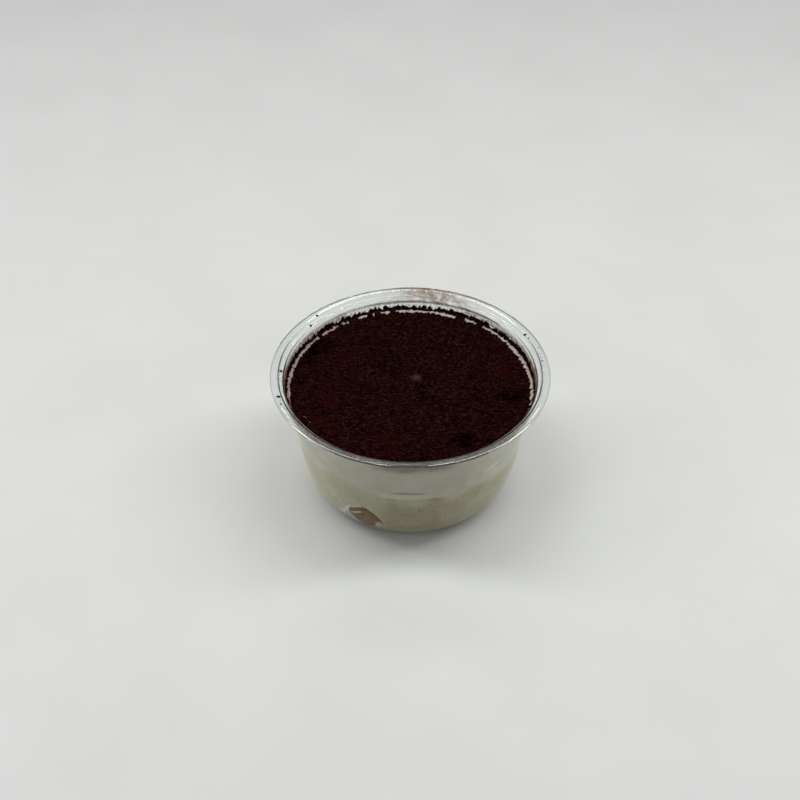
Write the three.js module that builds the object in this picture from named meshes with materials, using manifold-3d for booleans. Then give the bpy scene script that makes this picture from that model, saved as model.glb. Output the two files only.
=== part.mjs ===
// Layered tiramisu in a round, clear plastic dessert cup.
// Units are millimetres, +Z is up and the origin is the centre of the cup's base.
// The cup is a thin thermoformed shell. Inside it lie a lower cream layer tinted by coffee,
// a broken piece of soaked biscuit against the wall, a pale upper cream layer,
// a dusting of cocoa on top, and a ragged ring of cocoa that clings to the wall.

import * as THREE from 'three';
import { mergeVertices } from 'three/addons/utils/BufferGeometryUtils.js';
import Module from 'manifold-3d';

const wasm = await Module();
wasm.setup();

// Cup
const RIM_RADIUS = 60;
const CUP_HEIGHT = 60;
const WALL = 0.8;
const LIP_WIDTH = 1.8;
const LIP_DROP = 0.7;
const LIP_ROUNDING = (LIP_WIDTH ** 2 + LIP_DROP ** 2) / (2 * LIP_DROP);
const LIP_STEPS = 3;
const FLANGE_INNER_RADIUS = 56.4;
const FLANGE_FALL = 0.25;
const LEDGE_OUTER_RADIUS = 56.0;
const LEDGE_INNER_RADIUS = 54.5;
const LEDGE_HEIGHT = 58.0;
const NECK_TOP_RADIUS = 54.0;
const NECK_TOP_HEIGHT = 56.2;
const NECK_RADIUS = 53.6;
const NECK_HEIGHT = 52;
const CREASE_RADIUS = 49;
const CREASE_HEIGHT = 32.2;
const BOWL_FLARE = 0.1;
const BOWL_SQUARENESS = 2.6;
const FOOT_RADIUS = 33.6;
const BOWL_STEPS = 9;
const CUP_SEGMENTS = 56;
const SMALLEST_ROUNDING = 0.15;

// Food
const GAP = 0.3;
const FLOOR = WALL + GAP;
const FOOD_SEGMENTS = 64;
const SEAM_HEIGHT = 31.4;
const SEAM_SWELL = 0.25;
const SEAM_ROWS = [0, 25, 42];
const CREAM_HEIGHT = 51.2;
const CREAM_SWELL = 0.2;
const CREAM_SIDE_ROWS = [37, 41, 45.5];
const CREAM_TOP_ROWS = [52.2, 51.6, 50.2, 40, 26, 12, 0];
const CLIMB_HEIGHT = 0.8;
const CLIMB_START = 51.0;
const CLIMB_END = 52.8;
const COCOA_RADIUS = 51.0;
const COCOA_THICKNESS = 0.8;
const COCOA_SWELL = 0.15;
const COCOA_SEGMENTS = 96;
const COCOA_EDGE_HEIGHT = 0.4;
const COCOA_RAGGEDNESS = 0.5;
const COCOA_ROWS = [0.96, 0.86, 0.7, 0.5, 0.3, 0.13, 0.06];
const LUMP_HEIGHT = 0.7;
const LUMP_PLACE = [2.2, 4.9];
const LUMP_RADIUS = 3.5;
const RING_INNER_RADIUS = 52.5;
const RING_OUTER_RADIUS = 53.3;
const RING_BOTTOM = 52.4;
const RING_TOP = 53.5;
const RING_TOOTH = 0.5;
const RING_SLOPE = 0.3;

// Where the lower cream was pushed up along the wall: direction from the front, -Y, reach to each
// side in degrees, and height
const SEAM_RISES = [
  [-38, 28, 3.9],
  [36.5, 20, 3.3],
  [75, 30, 2.4],
  [-80, 34, 2.2],
  [130, 35, 1.5],
  [180, 28, 2.6],
  [-130, 30, 1.2],
];

// Soaked biscuit: a broken end that touches the wall. Its direction is counted from the front, -Y,
// its height and radius give its middle, and it is tilted about the line to the cup's axis.
const BISCUIT_WIDTH = 14.2;
const BISCUIT_LENGTH = 14.6;
const BISCUIT_DEPTH = 15;
const BISCUIT_HEIGHT = 13.4;
const BISCUIT_RADIUS = 42;
const BISCUIT_DIRECTION = -24.5;
const BISCUIT_TILT = 36;
const BISCUIT_SQUARENESS = 3.2;
const BISCUIT_UNEVENNESS = 0.05;

const TURN = 2 * Math.PI;
const DEGREES = Math.PI / 180;

// Corners of a line are [radius, height, rounding]. The line is moved sideways by a distance,
// to the left of its direction, and each corner's rounding grows or shrinks to match.
function offsetCorners(corners, distance) {
  const normals = corners.slice(1).map(([r, z], i) => {
    const [r0, z0] = corners[i];
    const length = Math.hypot(r - r0, z - z0);
    return [-(z - z0) / length, (r - r0) / length];
  });
  return corners.map(([r, z, round = 0], i) => {
    const before = normals[Math.max(i - 1, 0)];
    const after = normals[Math.min(i, normals.length - 1)];
    const share = 1 + before[0] * after[0] + before[1] * after[1];
    const bend = before[0] * after[1] - before[1] * after[0];
    const rounding = round > 0 ? Math.max(round - Math.sign(bend) * distance, SMALLEST_ROUNDING) : 0;
    return [
      r + distance * (before[0] + after[0]) / share,
      z + distance * (before[1] + after[1]) / share,
      rounding,
    ];
  });
}

// Replaces each rounded corner by three points of an arc.
function roundedLine(corners) {
  const points = [];
  corners.forEach(([r, z, round = 0], i) => {
    const corner = new THREE.Vector2(r, z);
    if (round === 0 || i === 0 || i === corners.length - 1) {
      points.push(corner);
      return;
    }
    const toBefore = new THREE.Vector2(...corners[i - 1]).sub(corner);
    const toAfter = new THREE.Vector2(...corners[i + 1]).sub(corner);
    const half = Math.acos(toBefore.dot(toAfter) / (toBefore.length() * toAfter.length())) / 2;
    const reach = Math.min(round / Math.tan(half), toBefore.length() / 2.2, toAfter.length() / 2.2);
    const start = toBefore.setLength(reach).add(corner);
    const end = toAfter.setLength(reach).add(corner);
    const depth = reach / Math.cos(half) - reach * Math.tan(half);
    const apex = start.clone().add(end).multiplyScalar(0.5).sub(corner).setLength(depth).add(corner);
    points.push(start, apex, end);
  });
  return points;
}

// The cup's inside, from its lip, over the flange and ledge and down the wall to the axis. The lip
// is an arc, and below the crease the wall is a bowl that flares a little.
function insideCorners() {
  const corners = [];
  for (let i = LIP_STEPS; i >= 0; i--) {
    const turn = (i / LIP_STEPS) * Math.asin(LIP_WIDTH / LIP_ROUNDING);
    const r = RIM_RADIUS - LIP_WIDTH + LIP_ROUNDING * Math.sin(turn);
    corners.push([r, CUP_HEIGHT - LIP_ROUNDING * (1 - Math.cos(turn))]);
  }
  corners.push(
    [FLANGE_INNER_RADIUS, CUP_HEIGHT - FLANGE_FALL, 0.5],
    [LEDGE_OUTER_RADIUS, LEDGE_HEIGHT, 0.4],
    [LEDGE_INNER_RADIUS, LEDGE_HEIGHT, 0.8],
    [NECK_TOP_RADIUS, NECK_TOP_HEIGHT],
    [NECK_RADIUS, NECK_HEIGHT],
  );
  const depth = CREASE_HEIGHT - WALL;
  const width = CREASE_RADIUS - FOOT_RADIUS - BOWL_FLARE * depth;
  for (let i = 0; i <= BOWL_STEPS; i++) {
    const turn = (i / BOWL_STEPS) * Math.PI / 2;
    const down = i === BOWL_STEPS ? 1 : Math.sin(turn) ** (2 / BOWL_SQUARENESS);
    const out = i === BOWL_STEPS ? 0 : Math.cos(turn) ** (2 / BOWL_SQUARENESS);
    corners.push([FOOT_RADIUS + width * out + BOWL_FLARE * depth * (1 - down), CREASE_HEIGHT - depth * down]);
  }
  corners.push([0, WALL]);
  return corners;
}

// Outline of the space that the food fills, a gap inside the cup's wall
const foodCorners = offsetCorners(insideCorners(), -GAP);

// Points of that outline below the crease, from the floor up
const bowlOutline = foodCorners
  .filter(([r, z]) => r > 0 && z < CREASE_HEIGHT - 1)
  .map(([r, z]) => [r, z])
  .reverse();
const BOWL_SPACE_TOP = bowlOutline[bowlOutline.length - 1][1];

function foodRadius(height) {
  const below = foodCorners.findIndex(([, z]) => z < height);
  const [upperRadius, upperHeight] = foodCorners[below - 1];
  const [lowerRadius, lowerHeight] = foodCorners[below];
  const share = (upperHeight - height) / (upperHeight - lowerHeight);
  return THREE.MathUtils.lerp(upperRadius, lowerRadius, share);
}

// A repeatable random number from 0 to 1 for a whole number and a seed
function draw(index, seed) {
  const value = Math.sin(index * 12.9898 + seed * 78.233) * 43758.5453;
  return value - Math.floor(value);
}

// Gentle hills over the cup's cross-section, from -1 to 1
function hills(x, y, seed) {
  let sum = 0;
  for (let i = 0; i < 4; i++) {
    const heading = TURN * draw(i, seed);
    const wavelength = 26 + 34 * draw(i, seed + 1);
    const along = x * Math.cos(heading) + y * Math.sin(heading);
    sum += Math.cos(TURN * (along / wavelength + draw(i, seed + 2))) / 4;
  }
  return sum;
}

// A solid of turned rows. outlineAt(angle) gives [radius, height] points from the lower point on
// the axis, out and up to the upper point on the axis, so an uneven food has a new one at each angle.
function turnedSolid(outlineAt, segments) {
  const positions = [];
  const faces = [];
  const outlines = [];
  for (let j = 0; j < segments; j++) {
    outlines.push(outlineAt(TURN * j / segments));
  }
  const rows = outlines[0].length;
  const closedOnAxis = outlines[0][0][0] === 0;
  const firstRow = closedOnAxis ? 1 : 0;
  const lastRow = closedOnAxis ? rows - 2 : rows - 1;
  for (let i = firstRow; i <= lastRow; i++) {
    for (let j = 0; j < segments; j++) {
      const [r, z] = outlines[j][i];
      const angle = TURN * j / segments;
      positions.push(r * Math.cos(angle), r * Math.sin(angle), z);
    }
  }
  const rowCount = lastRow - firstRow + 1;
  const bandCount = closedOnAxis ? rowCount - 1 : rowCount;
  for (let i = 0; i < bandCount; i++) {
    for (let j = 0; j < segments; j++) {
      const next = (j + 1) % segments;
      const upper = (i + 1) % rowCount;
      faces.push(i * segments + j, i * segments + next, upper * segments + next);
      faces.push(i * segments + j, upper * segments + next, upper * segments + j);
    }
  }
  if (closedOnAxis) {
    const bottom = positions.length / 3;
    const top = bottom + 1;
    positions.push(0, 0, outlines[0][0][1], 0, 0, outlines[0][rows - 1][1]);
    for (let j = 0; j < segments; j++) {
      const next = (j + 1) % segments;
      faces.push(bottom, next, j);
      faces.push(top, (rowCount - 1) * segments + j, (rowCount - 1) * segments + next);
    }
  }
  const geometry = new THREE.BufferGeometry();
  geometry.setAttribute('position', new THREE.Float32BufferAttribute(positions, 3));
  geometry.setIndex(faces);
  geometry.computeVertexNormals();
  return geometry;
}

function toSolid(geometry) {
  const bare = geometry.clone();
  bare.deleteAttribute('normal');
  bare.deleteAttribute('uv');
  const merged = mergeVertices(bare, 1e-4);
  return new wasm.Manifold(new wasm.Mesh({
    numProp: 3,
    vertProperties: new Float32Array(merged.attributes.position.array),
    triVerts: new Uint32Array(merged.index.array),
  }));
}

function toGeometry(solid) {
  const mesh = solid.getMesh();
  const geometry = new THREE.BufferGeometry();
  geometry.setAttribute('position', new THREE.BufferAttribute(new Float32Array(mesh.vertProperties), 3));
  geometry.setIndex(new THREE.BufferAttribute(new Uint32Array(mesh.triVerts), 1));
  geometry.computeVertexNormals();
  return geometry;
}

// Cup: one closed outline, out along the underside to the lip and back along the inside
function cup() {
  const inside = roundedLine(insideCorners());
  const underside = roundedLine(offsetCorners(insideCorners(), WALL));
  const outline = [...underside.reverse(), ...inside];
  outline[0].x = 0;
  outline[outline.length - 1].x = 0;
  const geometry = new THREE.LatheGeometry(outline, CUP_SEGMENTS);
  geometry.rotateX(Math.PI / 2);
  return geometry;
}

// Height of the seam between the two cream layers. Each rise fades towards the cup's axis.
function seam(x, y) {
  const direction = Math.atan2(x, -y) / DEGREES;
  let height = SEAM_HEIGHT + SEAM_SWELL * hills(x, y, 3);
  for (const [centre, reach, rise] of SEAM_RISES) {
    const away = Math.abs(((direction - centre + 540) % 360) - 180);
    const share = away < reach ? (1 + Math.cos(Math.PI * away / reach)) / 2 : 0;
    height += rise * share * (Math.hypot(x, y) / CREASE_RADIUS) ** 3;
  }
  return height;
}

// Height of the cream under the cocoa, which climbs a little at the wall
function creamTop(x, y) {
  const climb = THREE.MathUtils.smoothstep(Math.hypot(x, y), CLIMB_START, CLIMB_END);
  return CREAM_HEIGHT + CLIMB_HEIGHT * climb + CREAM_SWELL * hills(x, y, 11);
}

// Height of the cocoa's surface, with a low lump near its middle
function cocoaTop(x, y) {
  const lump = Math.max(0, 1 - Math.hypot(x - LUMP_PLACE[0], y - LUMP_PLACE[1]) / LUMP_RADIUS);
  return creamTop(x, y) + GAP + COCOA_THICKNESS + COCOA_SWELL * hills(x, y, 31) + LUMP_HEIGHT * lump;
}

// Points of an outline at one angle: each radius with the height that a surface has there
function across(radii, angle, heightAt) {
  return radii.map((r) => [r, heightAt(r * Math.cos(angle), r * Math.sin(angle))]);
}

function lowerCream() {
  const underSeam = (x, y) => seam(x, y) - GAP;
  return turnedSolid((angle) => {
    const [[, edgeHeight]] = across([CREASE_RADIUS], angle, underSeam);
    return [
      [0, FLOOR],
      ...bowlOutline,
      [foodRadius(edgeHeight), edgeHeight],
      ...across(SEAM_ROWS, angle, underSeam).reverse(),
    ];
  }, FOOD_SEGMENTS);
}

function upperCream() {
  return turnedSolid((angle) => {
    const [[, edgeHeight]] = across([CREASE_RADIUS], angle, seam);
    const [[, rimHeight]] = across([NECK_RADIUS], angle, creamTop);
    return [
      ...across(SEAM_ROWS, angle, seam),
      ...[edgeHeight, ...CREAM_SIDE_ROWS, rimHeight].map((z) => [foodRadius(z), z]),
      ...across(CREAM_TOP_ROWS, angle, creamTop),
    ];
  }, FOOD_SEGMENTS);
}

// Ragged edge of the cocoa, which spreads further at some places than at others
function cocoaEdge(angle) {
  const step = Math.round(angle / TURN * COCOA_SEGMENTS);
  const lobes = 0.25 * Math.cos(5 * angle + 1) + 0.2 * Math.cos(11 * angle + 2);
  return COCOA_RADIUS + lobes + COCOA_RAGGEDNESS * (draw(step, 21) - 0.5);
}

function cocoa() {
  const underCocoa = (x, y) => creamTop(x, y) + GAP;
  return turnedSolid((angle) => {
    const edge = cocoaEdge(angle);
    const [[, edgeHeight]] = across([edge], angle, underCocoa);
    return [
      ...across([0, edge / 2], angle, underCocoa),
      [edge, edgeHeight],
      [edge, edgeHeight + COCOA_EDGE_HEIGHT],
      ...across(COCOA_ROWS.map((share) => edge * share), angle, cocoaTop),
      [0, cocoaTop(0, 0)],
    ];
  }, COCOA_SEGMENTS);
}

// Cocoa on the wall: a thin ring with a toothed upper edge, just above the cream that climbs there
function cocoaOnWall() {
  return turnedSolid((angle) => {
    const step = Math.round(angle / TURN * COCOA_SEGMENTS);
    const [[, creamHeight]] = across([RING_INNER_RADIUS], angle, creamTop);
    const bottom = Math.max(RING_BOTTOM, creamHeight + GAP);
    const tooth = RING_TOOTH * (draw(step, 41) - 0.4) + 0.25 * Math.cos(3 * angle);
    return [
      [RING_INNER_RADIUS, bottom],
      [RING_OUTER_RADIUS, bottom],
      [RING_OUTER_RADIUS, RING_TOP + tooth],
      [RING_INNER_RADIUS, RING_TOP + tooth - RING_SLOPE],
    ];
  }, COCOA_SEGMENTS);
}

// A block with well rounded corners, flatter than a ball, grown on every side by a margin
function biscuitBlock(margin) {
  const geometry = new THREE.SphereGeometry(1, 24, 14);
  geometry.rotateX(Math.PI / 2);
  const place = geometry.attributes.position;
  const squared = (value) => Math.sign(value) * Math.abs(value) ** (2 / BISCUIT_SQUARENESS);
  for (let i = 0; i < place.count; i++) {
    const up = place.getZ(i);
    const level = Math.sqrt(Math.max(0, 1 - up * up));
    const turn = Math.atan2(place.getY(i), place.getX(i));
    const x = squared(level) * squared(Math.cos(turn));
    const y = squared(level) * squared(Math.sin(turn));
    const dent = 1 + BISCUIT_UNEVENNESS * hills(40 * x, 40 * up + 15 * y, 51);
    place.setXYZ(
      i,
      x * (BISCUIT_WIDTH / 2 * dent + margin),
      y * (BISCUIT_DEPTH / 2 + margin),
      squared(up) * (BISCUIT_LENGTH / 2 * dent + margin),
    );
  }
  geometry.rotateY(BISCUIT_TILT * DEGREES);
  geometry.translate(0, -BISCUIT_RADIUS, BISCUIT_HEIGHT);
  geometry.rotateZ(BISCUIT_DIRECTION * DEGREES);
  return toSolid(geometry);
}

// The space for food inside the bowl, which trims the biscuit to the wall and the floor
function lowerSpace() {
  const outline = [[0, FLOOR], ...bowlOutline, [0, BOWL_SPACE_TOP]];
  return toSolid(turnedSolid(() => outline, FOOD_SEGMENTS));
}

function plastic(colour) {
  return new THREE.MeshStandardMaterial({ color: colour, roughness: 0.08, metalness: 0 });
}

function food(colour, roughness) {
  return new THREE.MeshStandardMaterial({ color: colour, roughness, metalness: 0 });
}

const lowerCreamSolid = toSolid(lowerCream()).subtract(biscuitBlock(GAP));
const biscuitSolid = biscuitBlock(0).intersect(lowerSpace());

const pieces = [
  ['cup', cup(), plastic('#e8eeea')],
  ['cream_lower', toGeometry(lowerCreamSolid), food('#a89f84', 0.6)],
  ['biscuit', toGeometry(biscuitSolid), food('#6b5433', 0.7)],
  ['cream_upper', upperCream(), food('#c9c6b6', 0.55)],
  ['cocoa', cocoa(), food('#1b0b09', 0.95)],
  ['cocoa_on_wall', cocoaOnWall(), food('#1b0b09', 0.95)],
];

const dessert = new THREE.Group();
for (const [name, geometry, material] of pieces) {
  const mesh = new THREE.Mesh(geometry, material);
  mesh.name = name;
  dessert.add(mesh);
}

export default dessert;
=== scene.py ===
import math

import bpy
import numpy as np
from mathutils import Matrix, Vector, noise


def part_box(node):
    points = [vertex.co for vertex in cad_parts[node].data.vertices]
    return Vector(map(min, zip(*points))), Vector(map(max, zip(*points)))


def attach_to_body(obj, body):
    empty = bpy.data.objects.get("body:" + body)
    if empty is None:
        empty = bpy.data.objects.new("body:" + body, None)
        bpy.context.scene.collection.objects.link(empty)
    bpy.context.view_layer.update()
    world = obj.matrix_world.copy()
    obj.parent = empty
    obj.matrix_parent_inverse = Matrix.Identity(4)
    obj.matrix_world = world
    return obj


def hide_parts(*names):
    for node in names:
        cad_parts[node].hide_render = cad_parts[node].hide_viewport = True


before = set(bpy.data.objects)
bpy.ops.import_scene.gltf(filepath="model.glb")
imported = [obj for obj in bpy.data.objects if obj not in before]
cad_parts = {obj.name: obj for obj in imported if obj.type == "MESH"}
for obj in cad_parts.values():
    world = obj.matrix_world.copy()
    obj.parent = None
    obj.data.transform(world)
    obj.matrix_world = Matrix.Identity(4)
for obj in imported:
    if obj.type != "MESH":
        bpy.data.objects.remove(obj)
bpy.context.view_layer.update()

# Sizes below are in millimetres, and heights count from the base of the cup. Angles are in
# degrees, anticlockwise from +X as seen from above. The camera stands on the -90 side, the front.
MM = 0.001
FRONT = -90
BACK = 90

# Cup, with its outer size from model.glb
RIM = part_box("cup")[1].x / MM
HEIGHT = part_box("cup")[1].z / MM
SOLID_WALL = 0.8
SHEET = 0.55
FOOD_REACH = 0.12
LIP_WIDTH = 1.8
LIP_DROP = 0.7
LIP_ROUNDING = (LIP_WIDTH ** 2 + LIP_DROP ** 2) / (2 * LIP_DROP)
FLANGE_FALL = 0.25
FLANGE_INNER = RIM - 3.6
LEDGE_OUTER = RIM - 4
LEDGE_INNER = RIM - 5.5
LEDGE_HEIGHT = HEIGHT - 2
NECK_TOP = (RIM - 6, HEIGHT - 3.8)
NECK = (RIM - 6.4, HEIGHT - 8)
CREASE = (RIM - 11, HEIGHT - 27.8)
CREASE_ROUNDING = 12
BOWL_FLARE = 0.1
BOWL_SQUARENESS = 2.6
FOOT_RADIUS = 33.6

# Food
SEAM = CREASE[1] - 0.8
CREAM_TOP = HEIGHT - 8.3
COCOA_DEPTH = 0.55
BISCUIT_ANGLE = FRONT - 24.5
BISCUIT_HEIGHT = 13.4
BISCUIT_WIDTH = 14.2
BISCUIT_DEPTH = 13
BISCUIT_SQUARENESS = 3.2
BISCUIT_TILT = math.radians(36)
# Where the lower cream was pushed up along the wall: direction from the front, reach to each side
# in degrees, and height
SEAM_RISES = ((-38, 28, 3.9), (36.5, 20, 3.3), (75, 30, 2.4), (-80, 34, 2.2), (130, 35, 1.5),
              (180, 28, 2.6), (-130, 30, 1.2))
# Where the upper cream was wiped up along the wall, in the same way
WIPED_UP = ((3, 50, 2.3), (-45, 40, 0.8), (48, 40, 0.6))
# How far from the back, to each side, the cream's outer margin shows beside the cocoa
MARGIN_SHOWS = 112
# Where the cocoa spilled over the rim at the front, in mm inwards from the rim's edge
SPILL = (2.2, 7.4)

# Points round each piece
SHELL_STEPS = 256
CREAM_STEPS = 720
DUSTING_STEPS = 900
RING_STEPS = 1800
BISCUIT_STEPS = 240


def linear(hex_colour):
    """An sRGB hex colour as the linear RGBA that a shader takes."""
    parts = [int(hex_colour[i:i + 2], 16) / 255 for i in (1, 3, 5)]
    return [p / 12.92 if p <= 0.04045 else ((p + 0.055) / 1.055) ** 2.4 for p in parts] + [1]


# Number helpers

def step_up(value, low, high):
    """0 below low, 1 above high, and a smooth step between them."""
    t = np.clip((np.asarray(value, float) - low) / (high - low), 0, 1)
    return t * t * (3 - 2 * t)


def between(value, low, high, blur):
    """1 from low to high, with soft ends of width blur."""
    return step_up(value, low - blur, low) * (1 - step_up(value, high, high + blur))


def relief(points, size, seed, octaves):
    """Uneven natural relief, about -1 to 1, over points in mm. Its largest bumps are size mm."""
    shift = Vector((seed * 17.3, seed * 5.1, seed * 9.7))
    flat = np.asarray(points, float).reshape(-1, 3) / size
    values = [noise.fractal(Vector(p) + shift, 1, 2, octaves) for p in flat]
    return np.array(values).reshape(np.shape(points)[:-1])


def at_angle(radius, degrees, height):
    """Points in mm from cylinder coordinates."""
    radius, degrees, height = np.broadcast_arrays(*map(np.float64, (radius, degrees, height)))
    turn = np.radians(degrees)
    return np.stack([radius * np.cos(turn), radius * np.sin(turn), height], -1)


def radius_of(points):
    """Distance of each point from the cup's axis."""
    return np.hypot(points[..., 0], points[..., 1])


def angle_of(points):
    """Direction of each point from the cup's axis."""
    return np.degrees(np.arctan2(points[..., 1], points[..., 0]))


def turned(degrees, centre):
    """How far each angle lies from centre, from -180 to 180."""
    return (np.asarray(degrees) - centre + 180) % 360 - 180


def full_turn(steps):
    """Evenly spaced angles all the way round."""
    return np.linspace(-180, 180, steps, endpoint=False)


# Meshes

def closed_piece(name, points, faces, material, shades=None):
    """A smooth closed mesh object from points in mm, its faces turned outwards. shades maps the
    name of a shade, which a material reads, to its value at each point."""
    points = np.asarray(points, float)
    faces = np.asarray(faces)
    corner = points[faces]
    volume = 0
    for i in range(1, faces.shape[1] - 1):
        volume += (corner[:, 0] * np.cross(corner[:, i], corner[:, i + 1])).sum()
    if volume < 0:
        faces = faces[:, ::-1]
    lists = [list(dict.fromkeys(face)) for face in faces.tolist()]
    mesh = bpy.data.meshes.new(name)
    mesh.from_pydata((points * MM).tolist(), [], lists)
    mesh.materials.append(material)
    mesh.polygons.foreach_set("use_smooth", [True] * len(mesh.polygons))
    for shade, values in (shades or {}).items():
        layer = mesh.attributes.new(shade, "FLOAT", "POINT")
        layer.data.foreach_set("value", np.clip(values, 0, 1).astype(np.float32))
    mesh.update()
    piece = bpy.data.objects.new(name, mesh)
    bpy.context.scene.collection.objects.link(piece)
    return piece


def skin(name, rows, material, shades=None):
    """A closed skin from rows of points, where each row is one closed ring. All the points of
    the first row are one point, and so are all those of the last."""
    rows = np.asarray(rows, float)
    count, steps = rows.shape[:2]
    here = np.arange(steps)
    after = (here + 1) % steps
    number = np.arange(count * steps).reshape(count, steps)
    number[0] = 0
    number[-1] = number[-1, 0]
    used, number = np.unique(number, return_inverse=True)
    number = number.reshape(count, steps)
    faces = []
    for low, high in zip(number, number[1:]):
        faces.append(np.stack([low[here], low[after], high[after], high[here]], -1))
    kept = {key: np.ravel(values)[used] for key, values in (shades or {}).items()}
    return closed_piece(name, rows.reshape(-1, 3)[used], np.concatenate(faces), material, kept)


def crust(name, back, front, keep, material):
    """A thin closed crust, from back points to front points. They lie on a grid that goes all the
    way round, and the crust covers the cells of it that are kept."""
    rows, columns = back.shape[:2]
    left = np.arange(rows * columns).reshape(rows, columns)
    right = np.roll(left, -1, 1)
    corners = np.stack([left[:-1], right[:-1], right[1:], left[1:]], -1)
    padded = np.pad(np.pad(keep, ((0, 0), (1, 1)), mode="wrap"), ((1, 1), (0, 0)))
    open_sides = [~padded[:-2, 1:-1], ~padded[1:-1, 2:], ~padded[2:, 1:-1], ~padded[1:-1, :-2]]
    ahead = rows * columns
    faces = [corners[keep] + ahead, corners[keep][:, ::-1]]
    for side, is_open in enumerate(open_sides):
        start, end = corners[keep & is_open][:, [side, (side + 1) % 4]].T
        faces.append(np.stack([end + ahead, start + ahead, start, end], -1))
    faces = np.concatenate(faces)
    used, faces = np.unique(faces, return_inverse=True)
    points = np.concatenate([back.reshape(-1, 3), front.reshape(-1, 3)])[used]
    return closed_piece(name, points, faces.reshape(-1, 4), material)


def grains(name, spots, sizes, material, random, flatness=1):
    """Small rough grains, centred on their spots, as one mesh. None stands above the rim.
    flatness is their height as a share of their size."""
    base = np.array([(1, 0, 0), (0, 1, 0), (-1, 0, 0), (0, -1, 0), (0, 0, 1), (0, 0, -1)], float)
    sides = np.array([(0, 1, 4), (1, 2, 4), (2, 3, 4), (3, 0, 4),
                      (1, 0, 5), (2, 1, 5), (3, 2, 5), (0, 3, 5)])
    corners = len(base)
    just_below_rim = HEIGHT - 0.01
    count = len(spots)
    axes = np.linalg.qr(random.normal(size=(count, 3, 3)))[0]
    lengths = np.reshape(sizes, (-1, 1, 1)) / 2 * random.uniform(0.6, 1.3, (count, corners, 1))
    around = np.einsum("kc,ncd->nkd", base, axes) * lengths
    around[..., 2] *= np.reshape(flatness, (-1, 1))
    points = np.asarray(spots)[:, None] + around
    points[..., 2] = np.minimum(points[..., 2], just_below_rim)
    faces = sides[None] + corners * np.arange(count)[:, None, None]
    flipped = np.linalg.det(axes) < 0
    faces[flipped] = faces[flipped][:, :, ::-1]
    return closed_piece(name, points.reshape(-1, 3), faces.reshape(-1, 3), material)


# Outline of the cup

LIP_STEPS = 12
BOWL_STEPS = 25
ARC_STEPS = 6
SMALLEST_ROUNDING = 0.12
# An arc takes at most one part in this many of the sides beside it, so neighbours never meet.
SIDE_PARTS = 2.2


def offset_line(corners, distances):
    """Corners (radius, height, rounding), each moved sideways, to the left of the way that the
    line runs."""
    spots = np.array([c[:2] for c in corners], float)
    ways = np.diff(spots, axis=0)
    ways /= np.linalg.norm(ways, axis=1)[:, None]
    left = np.stack([-ways[:, 1], ways[:, 0]], 1)
    before = np.concatenate([left[:1], left])
    after = np.concatenate([left, left[-1:]])
    mitre = (before + after) / (1 + (before * after).sum(1))[:, None]
    bend = before[:, 0] * after[:, 1] - before[:, 1] * after[:, 0]
    moved = []
    for corner, spot, side, turn, distance in zip(corners, spots, mitre, bend, distances):
        rounding = corner[2]
        if rounding:
            rounding = max(rounding - np.sign(turn) * distance, SMALLEST_ROUNDING)
        moved.append((*(spot + side * distance), rounding))
    return moved


def rounded_line(corners):
    """The line's points, with an arc at each corner that has a rounding. The ends have none."""
    line = []
    for i, (radius, height, rounding) in enumerate(corners):
        corner = Vector((radius, height))
        if not rounding:
            line.append(corner)
            continue
        back = Vector(corners[i - 1][:2]) - corner
        ahead = Vector(corners[i + 1][:2]) - corner
        half = back.angle(ahead) / 2
        most = min(back.length, ahead.length) / SIDE_PARTS
        reach = min(rounding / math.tan(half), most)
        arc = reach * math.tan(half)
        halfway = (back.normalized() + ahead.normalized()).normalized()
        middle = corner + halfway * (reach / math.cos(half))
        start = corner + back.normalized() * reach - middle
        end = corner + ahead.normalized() * reach - middle
        for k in range(ARC_STEPS + 1):
            line.append(middle + start.lerp(end, k / ARC_STEPS).normalized() * arc)
    return np.array([tuple(p) for p in line])


def inside_corners():
    """The cup's inside as CAD has it: lip, flange, ledge, neck, wall, crease, bowl and floor."""
    corners = []
    for turn in np.linspace(math.asin(LIP_WIDTH / LIP_ROUNDING), 0, LIP_STEPS):
        radius = RIM - LIP_WIDTH + LIP_ROUNDING * math.sin(turn)
        corners.append((radius, HEIGHT - LIP_ROUNDING * (1 - math.cos(turn)), 0))
    corners += [
        (FLANGE_INNER, HEIGHT - FLANGE_FALL, 0.5),
        (LEDGE_OUTER, LEDGE_HEIGHT, 0.4),
        (LEDGE_INNER, LEDGE_HEIGHT, 0.8),
        (*NECK_TOP, 2),
        (*NECK, 4),
    ]
    depth = CREASE[1] - SOLID_WALL
    width = CREASE[0] - FOOT_RADIUS - BOWL_FLARE * depth
    for turn in np.linspace(0, math.pi / 2, BOWL_STEPS):
        down = math.sin(turn) ** (2 / BOWL_SQUARENESS)
        out = max(math.cos(turn), 0) ** (2 / BOWL_SQUARENESS)
        radius = FOOT_RADIUS + width * out + BOWL_FLARE * depth * (1 - down)
        corners.append((radius, CREASE[1] - depth * down, 0 if turn else CREASE_ROUNDING))
    return corners + [(0, SOLID_WALL, 0)]


def wall_line(at_flange, at_wall):
    """The inside line moved outwards, by one distance down to the ledge and another below it."""
    corners = inside_corners()
    rim_part = LIP_STEPS + 3
    distances = [at_flange] * rim_part + [at_wall] * (len(corners) - rim_part)
    return rounded_line(offset_line(corners, distances))


# The sheet is thinner than the solid: the flange keeps its top, and the wall keeps its outside.
SHEET_INSIDE = wall_line(0, SOLID_WALL - SHEET)
SHEET_OUTSIDE = wall_line(SHEET, SOLID_WALL)
# The food reaches just into the sheet, so that no air shows between them.
FOOD_LINE = wall_line(0, SOLID_WALL - SHEET + FOOD_REACH)


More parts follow.
